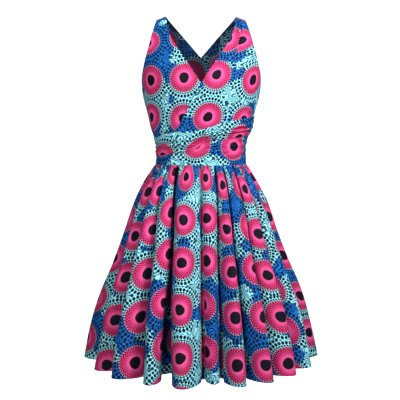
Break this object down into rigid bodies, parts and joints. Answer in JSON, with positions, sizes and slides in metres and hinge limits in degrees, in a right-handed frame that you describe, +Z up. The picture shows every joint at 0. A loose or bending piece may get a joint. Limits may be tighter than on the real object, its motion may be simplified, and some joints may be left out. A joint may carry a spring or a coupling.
{
  "type": "dress with pleated skirt",
  "caption": "Sleeveless V-neck dress with a wrap-front bodice, crossed back straps, draped midriff bands and a full gathered skirt, filled out as worn.",
  "frame": {"origin": "on the mid-line at the height of the shoulder tops, where the straps hang on the wearer's shoulders", "axes": "+Z up, the front faces -Y, +X is the wearer's left"},
  "size_m": [0.6611, 0.7016, 0.9465],
  "materials": {
    "printed_cotton": "matt"
  },
  "bodies": {
    "root": {"front_bodice_right": "printed_cotton", "front_bodice_left": "printed_cotton", "midriff_band_upper": "printed_cotton", "midriff_band_lower": "printed_cotton", "back_bodice": "printed_cotton", "back_strap_right": "printed_cotton", "back_strap_left": "printed_cotton", "skirt_front": "printed_cotton", "skirt_back": "printed_cotton"}
  },
  "joints": []
}
